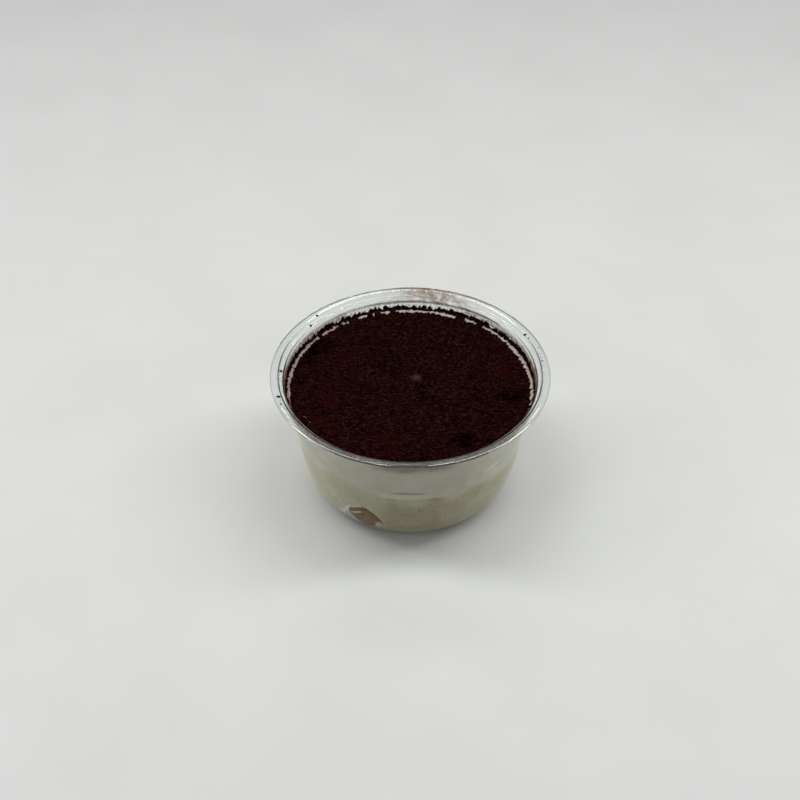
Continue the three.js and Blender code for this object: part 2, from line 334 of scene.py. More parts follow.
def line_radius(line, height):
    """Radius of one of these lines at each height, from the neck down."""
    below = line[line[:, 1] < NECK_TOP[1] + 1]
    return np.interp(height, below[::-1, 1], below[::-1, 0])


def flange_height(radius):
    """Height of the rim's upper face at each radius."""
    top = SHEET_INSIDE[SHEET_INSIDE[:, 1] > LEDGE_HEIGHT - 1]
    return np.interp(radius, top[::-1, 0], top[::-1, 1])


def wall_spots(degrees, heights, lift):
    """Spots on the inside of the wall, or lift mm off it."""
    return at_angle(line_radius(SHEET_INSIDE, heights) - lift, degrees, heights)


def rim_spots(degrees, inwards, lift):
    """Spots on the rim, inwards mm from its edge along the flange, riser and ledge, lift mm off
    it."""
    path = np.concatenate([[0], np.cumsum(np.hypot(*np.diff(SHEET_INSIDE, axis=0).T))])
    radius, height = (np.interp(inwards, path, line) for line in SHEET_INSIDE.T)
    return at_angle(radius - lift, degrees, height + lift)


# Materials

def add_node(tree, kind, inputs=(), stops=(), **settings):
    """Adds one node. inputs maps a socket to a value or to the output that feeds it, stops are the
    (position, hex colour) pairs of a ramp, and settings are the node's own properties."""
    made = tree.nodes.new("ShaderNode" + kind)
    for key, value in settings.items():
        setattr(made, key, value)
    for key, value in dict(inputs).items():
        if isinstance(value, bpy.types.NodeSocket):
            tree.links.new(value, made.inputs[key])
        else:
            made.inputs[key].default_value = value
    if stops:
        ramp = made.color_ramp.elements
        ramp.remove(ramp[1])
        ramp[0].position = stops[0][0]
        for position, _ in stops[1:]:
            ramp.new(position)
        for element, (_, colour) in zip(ramp, stops):
            element.color = linear(colour)
    return made


def new_material(name):
    """An empty material with its node tree, its output and the place on the object in metres."""
    material = bpy.data.materials.new(name)
    material.use_nodes = True
    tree = material.node_tree
    tree.nodes.clear()
    out = add_node(tree, "OutputMaterial")
    return material, tree, out, add_node(tree, "TexCoord").outputs["Object"]


def per_mm(size):
    """Texture scale for features of a size in mm: places are in metres."""
    return 1 / (size * MM)


def tinted(tree, colour, tints):
    """A colour, drawn towards hex colours one after another. tints maps a shade of the mesh, or
    another factor, to the colour it draws towards."""
    for shade, target in tints.items():
        if isinstance(shade, str):
            shade = add_node(tree, "Attribute", attribute_name=shade).outputs["Fac"]
        mix = add_node(tree, "Mix", {"Factor": shade, 6: colour, 7: linear(target)},
                       data_type="RGBA")
        colour = mix.outputs[2]
    return colour


def scattered_specks(tree, place, spacing, size, share):
    """1 inside small ragged specks, 0 elsewhere. size is that of the largest, and share the part
    of all cells that has one."""
    ragged = 0.5
    ragged_size = 0.5
    cells = add_node(tree, "TexVoronoi", {"Vector": place, "Scale": per_mm(spacing)})
    draw = add_node(tree, "SeparateColor", {"Color": cells.outputs["Color"]})
    reach = add_node(tree, "Math", {0: draw.outputs["Green"], 1: size / spacing / 2, 2: ragged / 2},
                     operation="MULTIPLY_ADD")
    rough = add_node(tree, "TexNoise",
                     {"Vector": place, "Scale": per_mm(ragged_size), "Detail": 1})
    away = add_node(tree, "Math",
                    {0: rough.outputs["Fac"], 1: ragged, 2: cells.outputs["Distance"]},
                    operation="MULTIPLY_ADD")
    near = add_node(tree, "Math", {0: away.outputs[0], 1: reach.outputs[0]}, operation="LESS_THAN")
    chosen = add_node(tree, "Math", {0: draw.outputs["Red"], 1: share}, operation="LESS_THAN")
    specks = add_node(tree, "Math", {0: near.outputs[0], 1: chosen.outputs[0]},
                      operation="MULTIPLY")
    return specks.outputs[0]


def clear_thermoformed_pet():
    """PET sheet, drawn hot over a mould: clear, glossy and faintly wavy, so mirrored light wobbles.
    It mirrors a little less than its typical IOR of 1.575 would, as the real cup does."""
    material, tree, out, place = new_material("clear_thermoformed_pet")
    waves = add_node(tree, "TexNoise", {"Vector": place, "Scale": per_mm(14), "Detail": 0})
    bump = add_node(tree, "Bump", {
        "Height": waves.outputs["Fac"], "Strength": 0.05, "Distance": 0.14 * MM,
    })
    sheet = add_node(tree, "BsdfPrincipled", {
        "Base Color": linear("#F7FAF8"), "Roughness": 0.03, "IOR": 1.52,
        "Transmission Weight": 1.0, "Normal": bump.outputs["Normal"],
    })
    # lamplight reaches the food straight through the sheet, which hardly darkens it
    clear = add_node(tree, "BsdfTransparent", {"Color": linear("#F2F5F3")})
    shadow = add_node(tree, "LightPath").outputs["Is Shadow Ray"]
    mix = add_node(tree, "MixShader", {0: shadow, 1: sheet.outputs[0], 2: clear.outputs[0]})
    tree.links.new(mix.outputs[0], out.inputs["Surface"])
    return material


def whipped_cream(name, stops, speck_share):
    """Whipped plant cream, pressed smooth against the cup: soft, moist and slightly see-through,
    so light bleeds a little below its surface. Where coffee is stirred in, it has faint specks."""
    material, tree, out, place = new_material(name)
    cloudy = add_node(tree, "TexNoise", {"Vector": place, "Scale": per_mm(9), "Detail": 3})
    colour = add_node(tree, "ValToRGB", {"Fac": cloudy.outputs["Fac"]}, stops).outputs["Color"]
    # pale draws paler cream and also painted light and highlights, and shaded draws painted shade
    colour = tinted(tree, colour, {
        "pale": "#E6E2D2", "dusted": "#BDB0A9", "stain": "#7A5F4A", "shaded": "#5E5F54",
    })
    if speck_share:
        specks = scattered_specks(tree, place, spacing=1.6, size=1.2, share=speck_share)
        faint = add_node(tree, "Math", {0: specks, 1: 0.4}, operation="MULTIPLY").outputs[0]
        colour = tinted(tree, colour, {faint: "#4A3A26"})
    fine = add_node(tree, "TexNoise", {"Vector": place, "Scale": per_mm(1.2), "Detail": 3})
    bump = add_node(tree, "Bump", {
        "Height": fine.outputs["Fac"], "Strength": 0.3, "Distance": 0.2 * MM,
    })
    cream = add_node(tree, "BsdfPrincipled", {
        "Base Color": colour, "Roughness": 0.5, "IOR": 1.45, "Subsurface Weight": 0.2,
        "Subsurface Radius": (1.0, 0.9, 0.7), "Subsurface Scale": 1.0 * MM,
        "Normal": bump.outputs["Normal"],
    })
    tree.links.new(cream.outputs[0], out.inputs["Surface"])
    return material


def sifted_cocoa():
    """Dark alkalised cocoa powder, sifted on: dead matt, near black red-brown, in fine clumps."""
    material, tree, out, place = new_material("sifted_cocoa")
    # the sieve was tapped from side to side, so the clumps are longer that way
    swept = add_node(tree, "VectorMath", {0: place, 1: (0.55, 1, 1)}, operation="MULTIPLY")
    clumps = add_node(tree, "TexNoise", {
        "Vector": swept.outputs[0], "Scale": per_mm(0.8), "Detail": 3, "Roughness": 0.8,
    })
    colour = add_node(tree, "ValToRGB", {"Fac": clumps.outputs["Fac"]}, [
        (0.36, "#040000"), (0.46, "#0E0303"), (0.54, "#1B0A0A"), (0.66, "#351E1D"),
    ]).outputs["Color"]
    colour = tinted(tree, colour, {"reddish": "#260902", "damp": "#040101", "pale": "#4A3E3C"})
    grit = add_node(tree, "TexNoise", {"Vector": place, "Scale": per_mm(0.6), "Detail": 3})
    bump = add_node(tree, "Bump", {
        "Height": grit.outputs["Fac"], "Strength": 0.8, "Distance": 0.3 * MM,
    })
    powder = add_node(tree, "BsdfPrincipled", {
        "Base Color": colour, "Roughness": 1.0, "Specular IOR Level": 0,
        "Normal": bump.outputs["Normal"],
    })
    tree.links.new(powder.outputs[0], out.inputs["Surface"])
    return material


def fine_cocoa_dust():
    """Cocoa dust, one layer thin: light passes between its grains, so it looks a lighter, warmer
    brown than the heaped powder."""
    material, tree, out, place = new_material("fine_cocoa_dust")
    drift = add_node(tree, "TexNoise", {"Vector": place, "Scale": per_mm(1.5), "Detail": 2})
    colour = add_node(tree, "ValToRGB", {"Fac": drift.outputs["Fac"]},
                      [(0.35, "#4C2C20"), (0.65, "#8A6A55")]).outputs["Color"]
    dust = add_node(tree, "BsdfPrincipled", {
        "Base Color": colour, "Roughness": 1.0, "Specular IOR Level": 0.05,
    })
    tree.links.new(dust.outputs[0], out.inputs["Surface"])
    return material


def smeared_cocoa():
    """Cocoa dust that was wiped over the plastic with a trace of cream: a light, warm brown."""
    material, tree, out, place = new_material("smeared_cocoa")
    streaks = add_node(tree, "TexNoise", {"Vector": place, "Scale": per_mm(2.5), "Detail": 2})
    colour = add_node(tree, "ValToRGB", {"Fac": streaks.outputs["Fac"]},
                      [(0.35, "#8A6440"), (0.65, "#B99A72")]).outputs["Color"]
    smear = add_node(tree, "BsdfPrincipled", {
        "Base Color": colour, "Roughness": 0.9, "Specular IOR Level": 0.1,
    })
    tree.links.new(smear.outputs[0], out.inputs["Surface"])
    return material


def coffee_soaked_sponge():
    """Sponge finger soaked in coffee: brown and full of small pores. It is pressed wet against the
    cup, so it hardly shines."""
    material, tree, out, place = new_material("coffee_soaked_sponge")
    crumb = add_node(tree, "TexNoise", {
        "Vector": place, "Scale": per_mm(2.2), "Detail": 4, "Roughness": 0.65,
    })
    colour = add_node(tree, "ValToRGB", {"Fac": crumb.outputs["Fac"]}, [
        (0.3, "#4E3000"), (0.48, "#7E5400"), (0.6, "#906400"), (0.75, "#A8822C"),
    ]).outputs["Color"]
    # damp darkens it: wet patches, and painted shade round the biscuit face's outline
    colour = tinted(tree, colour, {"damp": "#3A2C04", "creamy": "#D9CFAE"})
    pores = add_node(tree, "TexVoronoi", {"Vector": place, "Scale": per_mm(1.1)})
    bump = add_node(tree, "Bump", {
        "Height": pores.outputs["Distance"], "Strength": 0.5, "Distance": 0.3 * MM,
    })
    sponge = add_node(tree, "BsdfPrincipled", {
        "Base Color": colour, "Roughness": 0.45, "Specular IOR Level": 0.02,
        "Normal": bump.outputs["Normal"],
    })
    tree.links.new(sponge.outputs[0], out.inputs["Surface"])
    return material


def painted_board():
    """Pale painted board, rolled on: plain and nearly matt."""
    material, tree, out, place = new_material("painted_board")
    roller = add_node(tree, "TexNoise", {"Vector": place, "Scale": per_mm(60), "Detail": 2})
    colour = add_node(tree, "ValToRGB", {"Fac": roller.outputs["Fac"]},
                      [(0.3, "#D9DAD8"), (0.7, "#DDDEDC")]).outputs["Color"]
    board = add_node(tree, "BsdfPrincipled", {"Base Color": colour, "Roughness": 0.6})
    tree.links.new(board.outputs[0], out.inputs["Surface"])
    return material


# The pieces

def attach(piece, slot, *nodes):
    """Puts a piece on the part's one body, in place of its solids."""
    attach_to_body(piece, "root")
    if nodes:
        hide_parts(*nodes)


def cup_shell(material):
    """The cup's sheet, closed from its outside over the lip to its inside."""
    line = np.concatenate([SHEET_OUTSIDE[::-1], SHEET_INSIDE])
    rows = at_angle(line[:, :1], full_turn(SHELL_STEPS), line[:, 1:])
    attach(skin("cup_shell", rows, material), "clear_plastic", "cup")


def rises(angle, hills):
    """Height of soft hills along the wall, each a (direction from the front, reach, height)."""
    away = [np.clip(turned(angle, FRONT + centre) / reach, -1, 1) for centre, reach, _ in hills]
    return sum(hill[2] * (1 + np.cos(np.pi * share)) / 2 for hill, share in zip(hills, away))


def seam_height(points):
    """Height of the seam between the creams, for points of any height. Its hills fade inwards."""
    fade = (radius_of(points) / CREASE[0]) ** 3
    uneven = 0.3 * relief(points * [1, 1, 0], 12, 3, 3)
    return SEAM + rises(angle_of(points), SEAM_RISES) * fade + uneven


def seam_rows(angle, shares):
    """Rows of points on the seam, each at a share of the way from the axis to the wall."""
    edge = line_radius(FOOD_LINE, seam_height(at_angle(CREASE[0], angle, 0)))
    rows = []
    for share in shares:
        level = at_angle(edge * share, angle, 0)
        rows.append(at_angle(edge * share, angle, seam_height(level)))
    return rows


def cream_surface(radius, angle):
    """Height of the upper cream's surface, which climbs where it meets the wall, most at the
    front."""
    level = at_angle(radius, angle, 0)
    climb = 0.35 * step_up(radius, 51.2, 53.4)
    climb = climb + rises(angle, WIPED_UP) * step_up(radius, 52.5, 53.7)
    return CREAM_TOP + climb + 0.2 * relief(level, 22, 5, 2) + 0.06 * relief(level, 3, 6, 3)


# Soft patches on the wall, each as (arc from the front, height, half length, half height, slope):
# a thin paler streak in the upper cream at the right, which is a painted reflection, cream-coloured
# patches on the biscuit's face, and the pocket of air beside the biscuit
PAINTED_REFLECTION_STREAK = (37.5, 40.3, 5.6, 0.85, 0.17)
PALE_PATCHES_ON_BISCUIT = ((-24.2, 15.4, 3.2, 0.7, 0.66), (-13.4, 10.2, 1.6, 2.4, 0))
AIR_POCKET = (-29.3, 15, 3.1, 2.3, 1.3)


def on_wall_patch(points, patch):
    """1 inside a soft patch on the wall, 0 outside it, with a ragged edge."""
    arc, height, half_length, half_height, slope = patch
    across = np.radians(turned(angle_of(points), FRONT)) * radius_of(points) - arc
    up = points[..., 2] - height - slope * across
    far = np.hypot(across / half_length, up / half_height)
    return 1 - step_up(far + 0.25 * relief(points, 1.5, 61, 3), 0.75, 1.15)


# Radii of the rows on the upper cream's top, the radius beyond which that top shows, and the one
# up to which the cocoa dusts its margin
TOP_ROWS = (53.4, 53.2, 53.0, 52.8, 52.6, 52.4, 52.0, 51.6, 51.2, 50.8, 50.2, 49, 40, 20, 0)
TOP_SHOWS = 50
DUSTED_UP_TO = 53.2


def upper_cream(material):
    """The pale cream, from the seam up along the wall and over its top."""
    angle = full_turn(CREAM_STEPS)
    rows = seam_rows(angle, (0, 0.3, 0.6, 0.85, 0.95, 0.998, 1))
    low_edge = rows[-1][:, 2]
    high_edge = cream_surface(float(line_radius(FOOD_LINE, CREAM_TOP)), angle)
    for share in np.concatenate([[0.003], np.linspace(0.017, 1, 59)]):
        height = low_edge + (high_edge - low_edge) * share
        rows.append(at_angle(line_radius(FOOD_LINE, height), angle, height))
    for radius in TOP_ROWS:
        rows.append(at_angle(radius, angle, cream_surface(radius, angle)))
    rows = np.array(rows)
    height = rows[..., 2]
    radius = radius_of(rows)
    from_front = turned(angle, FRONT)
    cloud = relief(rows, 7, 31, 3)
    crumbs = relief(rows, 1.0, 32, 2)
    # cocoa stains the cream high up at the front, and its upper edge all the way round
    stained = step_up(height + 0.8 * cloud, 47.5, 53.3)
    stain = between(from_front, -9, 11, 14) * (0.15 * stained + 0.65 * stained ** 3)
    edge_stain = 0.45 * (1 - step_up(high_edge - height + 0.5 * crumbs, 0, 1))
    stain = np.maximum(stain, edge_stain)
    # painted shade: a thin pocket along the wall above the seam is painted darker. Painted light:
    # the cream is painted paler towards both sides, and a painted highlight pales it below the
    # pocket
    arch = 36.1 - 0.02 * (from_front + 1) ** 2
    wavy = arch + 0.3 * cloud + 0.35 * relief(rows, 2.6, 34, 3)
    pocket = between(from_front, -9, 12, 4) * between(height - wavy, -0.8, 0, 0.8)
    pale = between(np.abs(from_front), 30, 44, 16) * 0.15
    pale = pale + 0.25 * between(height, 31, 34.2, 0.8) * between(from_front, -13, 6, 5)
    # paler streaks along the seam at the right
    paler_streaks = relief(rows * [0.25, 0.25, 1], 1.6, 33, 3) * between(height - low_edge, 0.5, 5, 2)
    paler_streaks = 0.5 * paler_streaks * between(from_front, 18, 46, 10)
    # the thin streak at the right is a painted reflection
    pale = pale + paler_streaks + on_wall_patch(rows, PAINTED_REFLECTION_STREAK)
    # the outer margin of the top is dusted with cocoa, and browner at the back left
    margin = (height > CREAM_TOP - 0.6) & (radius < DUSTED_UP_TO)
    browner = 0.45 * between(turned(angle, BACK), 35, 115, 15)
    stain = np.where(margin, 0.5 * step_up(crumbs, 0.1, 0.5) + browner, stain)
    shades = {
        "stain": stain * (radius > TOP_SHOWS),
        "pale": (pale + 0.15 * cloud) * ~margin,
        "dusted": margin * 1.0,
        "shaded": 0.6 * pocket * (radius > TOP_SHOWS),
    }
    attach(skin("upper_cream", rows, material, shades), "cream_upper", "cream_upper")


def biscuit_reach(angle, height):
    """How far a place on the wall is from the middle of the biscuit's face, 1 at its outline: a
    rounded square that stands on its corner."""
    sideways = np.radians(turned(angle, BISCUIT_ANGLE)) * line_radius(FOOD_LINE, BISCUIT_HEIGHT)
    upwards = height - BISCUIT_HEIGHT
    cosine, sine = math.cos(BISCUIT_TILT), math.sin(BISCUIT_TILT)
    along = np.abs(sideways * cosine + upwards * sine)
    across = np.abs(upwards * cosine - sideways * sine)
    powers = along ** BISCUIT_SQUARENESS + across ** BISCUIT_SQUARENESS
    return powers ** (1 / BISCUIT_SQUARENESS) * 2 / BISCUIT_WIDTH


# How far the lower cream stands back from the wall behind the biscuit's face and in the pocket
BISCUIT_RECESS = 1.6
POCKET_DEPTH = 0.8


def lower_cream(material):
    """The coffee cream, from the cup's floor up along the wall and over the seam."""
    angle = full_turn(CREAM_STEPS)
    line = FOOD_LINE[(FOOD_LINE[:, 1] < NECK[1]) & (FOOD_LINE[:, 0] > 1)][::-1]
    floor = line[0, 1]
    seam = seam_rows(angle, (1, 0.998, 0.85, 0.6, 0.3, 0))
    seam_edge = seam[0][:, 2]
    # rows on the wall: close round the bowl's corner, level up to 28, and then fanned to the seam
    corner_top, level_top = 6, 28
    low = [*np.linspace(floor, corner_top, 14)[:-1], *np.arange(corner_top, level_top, 0.5)]
    above = [level_top + (seam_edge - level_top) * share for share in np.linspace(0, 0.99, 12)]
    rows = [at_angle(0, angle, floor), at_angle(20, angle, floor)]
    for height in [*low, *above]:
        radius = np.interp(height, line[:, 1], line[:, 0])
        hollow = BISCUIT_RECESS * (1 - step_up(biscuit_reach(angle, height), 0.8, 0.9))
        pocket = on_wall_patch(at_angle(radius, angle, height), AIR_POCKET)
        rows.append(at_angle(radius - (hollow + POCKET_DEPTH * pocket), angle, height))
    rows = np.array(rows + seam)
    height = rows[..., 2]
    from_front = turned(angle, FRONT)
    cloud = relief(rows, 8, 41, 3)
    # browner in the middle of the front, and a pale line round the biscuit's left side
    brown = between(from_front, -9, 12, 9) * between(height, 13, 30, 6)
    outline = between(biscuit_reach(angle, height), 1.02, 1.1, 0.06) * (from_front < -19)
    # the creams blend into each other along the seam, most at the right
    blend = 1 - step_up(seam_edge - height + 1.2 * cloud, 0, 6.5)
    blend = blend * (0.12 + 0.53 * between(from_front, 26, 80, 14))
    # paler towards the left; the stain below also darkens the right side a little
    pale = 0.16 * step_up(-from_front, 12, 28) + 0.12 * cloud + blend
    none = np.zeros_like(cloud)
    # the pocket of air is painted paler: whiter cream there, with a painted reflection of the air
    # gap
    shades = {
        "stain": brown * (0.2 + 0.3 * cloud) + 0.08 * between(from_front, 15, 90, 10),
        "pale": pale + 0.65 * on_wall_patch(rows, AIR_POCKET) + 0.4 * outline,
        "dusted": none,
        "shaded": none,
    }
    attach(skin("lower_cream", rows, material, shades), "cream_lower", "cream_lower")


# Where the cocoa reaches right out to the wall at the back, as (from, to) angles
COVERED = ((97.4, 99.1), (105.3, 107.4), (109.6, 111), (117.4, 121.6), (127, 127.7),
           (139.7, 140.7), (61.9, 65.4), (51.2, 53.7))
# The pale lump near the middle, and the damp and the reddish patches, as (x, y, radius)
LUMP = (2.8, 4.2, 3.3)
DAMP_PATCHES = ((43, -7.7, 8), (22, -35.4, 9), (-45, 20, 8), (-39, 26, 8), (-47, 3, 4))
REDDISH_PATCHES = ((-36, -6, 14), (-28, 22, 10), (-38, -22, 12), (-12, -38, 12), (40, 8, 7),
                   (16, -40, 8))


def cocoa_edge(angle):
    """Radius of the dusting's ragged edge. A ring of cream shows beyond it at the back and sides,
    and at the front the cocoa lies against the wall."""
    circle = at_angle(51, angle, 0)
    away = np.abs(turned(angle, BACK))
    edge = np.interp(away, [0, 60, 90, 100, 106, MARGIN_SHOWS],
                     [51.3, 51.6, 51.9, 52.3, 52.8, 53.5])
    # the teeth are coarse at the right, and finer from the back to the left
    coarse = np.where(turned(angle, BACK) < 0, 1.1, np.interp(away, [20, 60], [1.2, 0.5]))
    edge = edge + 0.3 * relief(circle, 6, 8, 3) + coarse * relief(circle, 1.2, 9, 3) - 0.1
    wall = float(line_radius(SHEET_INSIDE, CREAM_TOP))
    for start, end in COVERED:
        middle = (start + end) / 2
        edge = edge + 3 * between(turned(angle, middle), start - middle, end - middle, 0.8)
    return np.minimum(edge, wall + 0.05)


def near_spot(points, spot):
    """1 at the middle of a round spot (x, y, radius), 0 beyond its radius."""
    distance = np.hypot(points[..., 0] - spot[0], points[..., 1] - spot[1])
    return 1 - step_up(distance, 0, spot[2])


def cocoa_dusting(material):
    """The cocoa over the top, with its ragged edge, its uneven relief and its pale lump. Its
    underside lies just below the cream's surface."""
    angle = full_turn(DUSTING_STEPS)
    edge = cocoa_edge(angle)
    rows = []
    for share in (0, 0.6, 0.97):
        rows.append(at_angle(edge * share, angle, cream_surface(edge * share, angle) - 0.15))
    for share in np.concatenate([np.linspace(1, 0.97, 6), np.linspace(0.962, 0.01, 96)]):
        level = at_angle(edge * share, angle, 0)
        inward = edge * (1 - share)
        thick = COCOA_DEPTH * step_up(inward, -0.2, 0.9)
        bumps = 0.12 * relief(level, 6, 12, 2) + 0.3 * relief(level, 2, 13, 3)
        bumps = bumps + 0.7 * near_spot(level, LUMP)
        height = cream_surface(edge * share, angle) + thick + bumps * step_up(inward, 0, 0.8)
        rows.append(at_angle(edge * share, angle, height))
    rows.append(at_angle(0, angle, float(rows[-1][..., 2].mean())))
    rows = np.array(rows)
    level = rows * [1, 1, 0]
    ragged = 1 + 0.5 * relief(level, 3, 14, 3)
    # damp patches are broken up by clumps that run from side to side, as in the powder itself
    broken = np.clip(0.6 + 1.6 * relief(rows * [0.6, 1, 0], 1.3, 16, 3), 0, 1)
    damp = 1.5 * broken * sum(near_spot(rows, patch) for patch in DAMP_PATCHES)
    mottled = np.clip(0.5 + 1.5 * relief(level, 4, 15, 4), 0, 1)
    reddish = sum(near_spot(rows, patch) for patch in REDDISH_PATCHES)
    shades = {
        "damp": damp * ragged,
        "pale": 0.45 * near_spot(rows, LUMP) * ragged,
        "reddish": 0.2 * mottled + 0.4 * mottled * reddish,
    }
    attach(skin("cocoa_dusting", rows, material, shades), "cocoa", "cocoa")


# How far in from the wall the ring of cocoa starts, the length of its path from there over the
# margin and up the wall, and the distance between the points on that path
RING_INSET = 1.7
RING_PATH = 4.8
RING_GAP = 0.19


def cocoa_wall_ring(material):
    """Cocoa that lies on the cream's outer margin and clings to the wall above it."""
    angle = full_turn(RING_STEPS)
    path = np.arange(0, RING_PATH, RING_GAP)
    wall = float(line_radius(SHEET_INSIDE, CREAM_TOP + 1))
    start = wall - RING_INSET
    corner = cream_surface(wall + 0 * angle, angle)
    out = path[:, None] + 0 * angle
    across = start + np.minimum(out, wall - start)
    up = np.maximum(out - (wall - start), 0)
    climbing = up > 0
    level = np.where(climbing, corner + up, cream_surface(across, angle))
    back_radius = np.where(climbing, line_radius(SHEET_INSIDE, level) + 0.06, across + 0.05)
    back = at_angle(back_radius, angle, np.where(climbing, level, level - 0.08))
    flat = at_angle(start, angle, out)
    along = flat * [1, 1, 0]
    rough = relief(flat, 1.1, 22, 3)
    # how high it climbs, and how far in it starts, both ragged
    tall = 1.4 + 0.8 * relief(along, 9, 23, 3) + 1.5 * relief(along, 1.3, 24, 3)
    tall = tall - 0.8 * step_up(turned(angle, BACK) ** 2, 95 ** 2, 120 ** 2)
    tall = np.minimum(tall, NECK_TOP[1] - 0.3 - corner)
    away = np.abs(turned(angle, BACK))
    inner = np.interp(away, [0, 60, 90], [52.4, 52.65, 52.85]) + 0.3 * relief(along, 4, 25, 3)
    inner = inner + np.interp(away, [20, 60], [0.7, 0.35]) * relief(along, 1.3, 26, 3)
    inside = np.where(climbing, (tall - up) / 0.5, (across - inner) / 0.35) + 1.2 * rough
    keep = inside > 0
    pairs = keep & np.roll(keep, -1, 1)
    cells = pairs[:-1] & pairs[1:]
    thick = np.clip(0.08 + 0.35 * inside, 0.05, 0.4) * (1 + 0.5 * rough)
    lean = step_up(out, wall - start - 0.5, wall - start + 0.3)
    front = at_angle(back_radius - 0.06 - thick * lean, angle,
                     back[..., 2] + 0.08 + thick * (1 - lean))
    attach(crust("cocoa_wall_ring", back, front, cells, material), "cocoa", "cocoa_on_wall")


def soaked_biscuit(material):
    """The end of a sponge finger that is pressed against the wall: a rounded square on its
    corner, whose face follows the wall."""
    turn = np.radians(full_turn(BISCUIT_STEPS))
    cosine, sine = np.cos(turn), np.sin(turn)
    powers = np.abs(cosine) ** BISCUIT_SQUARENESS + np.abs(sine) ** BISCUIT_SQUARENESS
    reach = BISCUIT_WIDTH / 2 * powers ** (-1 / BISCUIT_SQUARENESS)
    sideways = reach * (cosine * math.cos(BISCUIT_TILT) - sine * math.sin(BISCUIT_TILT))
    upwards = reach * (cosine * math.sin(BISCUIT_TILT) + sine * math.cos(BISCUIT_TILT))
    uneven = 1 + 0.05 * relief(np.stack([sideways, upwards, 0 * turn], -1), 4, 51, 3)
    # the face from its middle outwards, then the sides inwards, then the end inside the cream
    face, sides = 36, 14
    shares = np.concatenate([np.linspace(0, 0.96, face), np.full(sides, 1.0), [0.6, 0]])
    depths = np.concatenate([np.zeros(face), np.linspace(0.4, BISCUIT_DEPTH, sides),
                             [BISCUIT_DEPTH] * 2])
    rows = []
    for share, depth in zip(shares, depths):
        height = BISCUIT_HEIGHT + upwards * uneven * share
        radius = line_radius(FOOD_LINE, height) + 0.04
        angle = BISCUIT_ANGLE + np.degrees(sideways * uneven * share / radius)
        spot = at_angle(radius, angle, height)
        pores = 0.4 * np.clip(relief(spot, 2.2, 52, 4) - 0.15, 0, 1) if depth == 0 else 0
        rows.append(at_angle(radius - depth - pores, angle, height))
    rows = np.array(rows)
    outwards = np.broadcast_to(shares[:, None], rows.shape[:2])
    # darker towards the face's outline and on its sides as painted shade where it sinks into its
    # recess, and darker in damp patches at random
    damp = step_up(outwards, 0.75, 1) * 0.7 + 0.5 * relief(rows, 5, 53, 3)
    creamy = sum(on_wall_patch(rows, patch) for patch in PALE_PATCHES_ON_BISCUIT)
    piece = skin("soaked_biscuit", rows, material, {"damp": damp, "creamy": creamy})
    attach(piece, "biscuit", "biscuit")


# Single specks on the flange, as (angle, radius, size)
FLANGE_SPECKS = ((83, 58.4, 1.2), (78, 58.9, 1.1), (72, 59.2, 1.0), (137, 56.5, 2.0),
                 (158, 59.5, 1.0), (161, 59.6, 1.0), (-163, 58.0, 2.0), (-158, 58.4, 1.3),
                 (38, 59.1, 1.2), (26, 56.6, 2.1), (143, 55.2, 2.2), (178, 55.6, 2.2),
                 (23, 56.8, 1.0), (15.5, 58.2, 1.0), (11.5, 57.2, 1.0), (9, 57.3, 1.0),
                 (6.5, 57.4, 1.2))
# How many finer grains lie in each place
GRAINS_ON_WALL = 500
GRAINS_ON_MARGIN = 900
CLUMPS_ON_DUSTING = 900
GRAINS_ON_FLANGE = 260
GRAINS_SPILLED = 5200
GRAINS_SPILLED_BEHIND = 420


